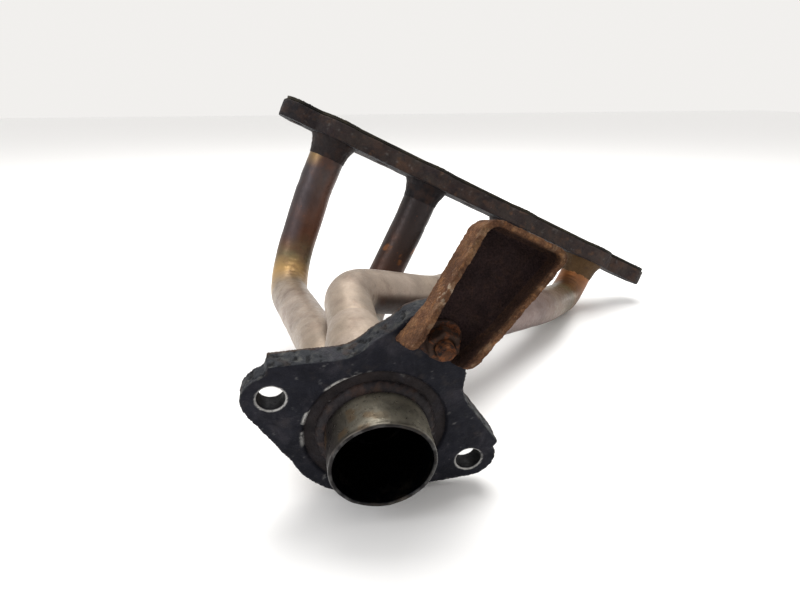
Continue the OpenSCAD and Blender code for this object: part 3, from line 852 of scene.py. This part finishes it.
at_stud = OUT @ Matrix.Translation((0, STUD_Y, 0))
THREAD_PITCH = 1.25
THREAD_DEPTH = 0.55
STUD_PAST_NUT = 5.0
STUD_SEGMENTS = 60
STUD_STEP = 0.16


def stay_screw():
    stud_top = STAY_SHEET + WASHER_T + NUT_T + STUD_PAST_NUT
    count = int((stud_top + OUTLET_T) / STUD_STEP)
    verts, faces, colours = [], [], []
    for i in range(count + 1):
        z = -OUTLET_T + (stud_top + OUTLET_T) * i / count
        for k in range(STUD_SEGMENTS):
            a = 2 * math.pi * k / STUD_SEGMENTS
            t = (z / THREAD_PITCH - a / (2 * math.pi)) % 1.0
            r = STUD_R - 0.06 - THREAD_DEPTH * (1 - abs(2 * t - 1)) * step(z, -1, 1)
            r -= 1.0 * step(z, stud_top - 1.3, stud_top)
            p = Vector((r * math.cos(a), r * math.sin(a), z))
            p += ray(a) * 0.12 * fbm(p, 1.6, 3, 121)
            verts.append(p)
            colours.append(rgb(120, 76, 48).lerp(rgb(44, 34, 31), 0.62 + 1.0 * fbm(p, 3, 3, 122)))
    rings = [range(i * STUD_SEGMENTS, (i + 1) * STUD_SEGMENTS) for i in range(count + 1)]
    for a, b in zip(rings, rings[1:]):
        bridge(faces, a, b)
    faces.append(tuple(reversed(rings[0])))
    faces.append(tuple(rings[-1]))
    obj = make("stay_screw", verts, faces, at_stud)
    paint(obj, colours)
    settle(obj, "rusty_steel", thread_steel, "stay_stud")


stay_screw()

WASHER_PROFILE = [(4.05, 0.05), (8.7, 0.0), (8.95, 0.4), (8.95, WASHER_T - 0.4), (8.7, WASHER_T),
                  (4.05, WASHER_T)]
obj, local = lathe("stay_disc", at_stud @ Matrix.Translation((0, 0, STAY_SHEET)), WASHER_PROFILE, 140,
                   lambda p, a: p + Vector((0, 0, 0.12 * fbm(p, 4, 3, 131))), 0.4)
paint(obj, weld_colours(local, rgb(62, 46, 40), 131.0, rgb(40, 32, 32)))
settle(obj, "rusty_steel", thread_steel, "stay_washer")

NUT_SEGMENTS = 120
NUT_LEVELS = 18
NUT_HOLE_R = 4.02


def stay_hexagon():
    verts, faces = [], []
    for i in range(NUT_LEVELS + 1):
        z = NUT_T * i / NUT_LEVELS
        end = min(z, NUT_T - z)
        for k in range(NUT_SEGMENTS):
            a = 2 * math.pi * k / NUT_SEGMENTS
            flat = (math.degrees(a) + 30) % 60 - 30
            r = NUT_R * math.cos(rad(30)) / math.cos(rad(30 - abs(flat)))
            # Both ends of the hexagon are turned to a cone
            r = min(r, NUT_R - 0.15 - 1.6 * max(0.0, 0.8 - end))
            p = Vector((r * math.cos(a), r * math.sin(a), z))
            p += ray(a) * (0.16 * fbm(p, 3, 3, 141) - 0.1)
            verts.append(p)
    # The hole widens at both ends
    for z in (NUT_T, NUT_T - 0.7, 0.7, 0.0):
        r = NUT_HOLE_R + (0.6 if z in (0.0, NUT_T) else 0.0)
        for k in range(NUT_SEGMENTS):
            a = 2 * math.pi * k / NUT_SEGMENTS
            verts.append(Vector((r * math.cos(a), r * math.sin(a), z)))
    rings = [range(i * NUT_SEGMENTS, (i + 1) * NUT_SEGMENTS) for i in range(NUT_LEVELS + 5)]
    for a, b in zip(rings, rings[1:] + rings[:1]):
        bridge(faces, a, b)
    obj = make("stay_hexagon", verts, faces, at_stud @ Matrix.Translation((0, 0, STAY_SHEET + WASHER_T)))
    paint(obj, weld_colours(verts, rgb(66, 50, 42), 141.0, rgb(44, 34, 32)))
    settle(obj, "rusty_steel", thread_steel, "stay_nut")


stay_hexagon()


# ---- floor, light and camera ----

# Half the side of the floor, in metres
FLOOR = 4.0
me = bpy.data.meshes.new("floor")
me.from_pydata([(-FLOOR, -FLOOR, 0), (FLOOR, -FLOOR, 0), (FLOOR, FLOOR, 0), (-FLOOR, FLOOR, 0)], [],
               [(0, 1, 2, 3)])
floor = bpy.data.objects.new("floor", me)
bpy.context.scene.collection.objects.link(floor)
pale = bpy.data.materials.new("pale_floor")
pale.use_nodes = True
shader = pale.node_tree.nodes["Principled BSDF"]
shader.inputs["Base Color"].default_value = (0.93, 0.93, 0.93, 1)
shader.inputs["Roughness"].default_value = 0.7
me.materials.append(pale)

world = bpy.data.worlds.new("studio")
world.use_nodes = True
background = world.node_tree.nodes["Background"]
background.inputs["Color"].default_value = (0.93, 0.915, 0.895, 1)
background.inputs["Strength"].default_value = 0.95
bpy.context.scene.world = world


def soft_light(name, place, aim, size, power, colour):
    """A square lamp at a place, aimed at a point."""
    data = bpy.data.lights.new(name, "AREA")
    data.size = size
    data.energy = power
    data.color = colour
    light = bpy.data.objects.new(name, data)
    light.location = place
    light.rotation_euler = (Vector(aim) - Vector(place)).to_track_quat("-Z", "Y").to_euler()
    bpy.context.scene.collection.objects.link(light)


# Places in metres, powers in watts
soft_light("overhead", (0.1, 0.45, 1.2), (0, 0, 0.05), 1.0, 16, (1.0, 0.99, 0.97))
soft_light("left_fill", (-1.1, -0.3, 0.7), (0, 0, 0.08), 0.7, 5, (0.97, 0.98, 1.0))

CAMERA_AT = (-0.18185, -0.36088, 0.18430)
LENS = 29.1
cam_data = bpy.data.cameras.new("camera")
cam_data.lens = LENS
cam_data.sensor_width = 36.0
cam_data.clip_start = 0.01
camera = bpy.data.objects.new("camera", cam_data)
forward = Vector((0.2592, 0.9130, -0.3150)).normalized()
right = Vector((0.9621, -0.2726, 0.0014)).normalized()
up = right.cross(forward)
turn = Matrix((right, up, -forward)).transposed()
camera.matrix_world = Matrix.Translation(CAMERA_AT) @ turn.to_4x4()
bpy.context.scene.collection.objects.link(camera)
bpy.context.scene.camera = camera
bpy.context.scene.view_settings.view_transform = "Standard"

bpy.context.view_layer.update()
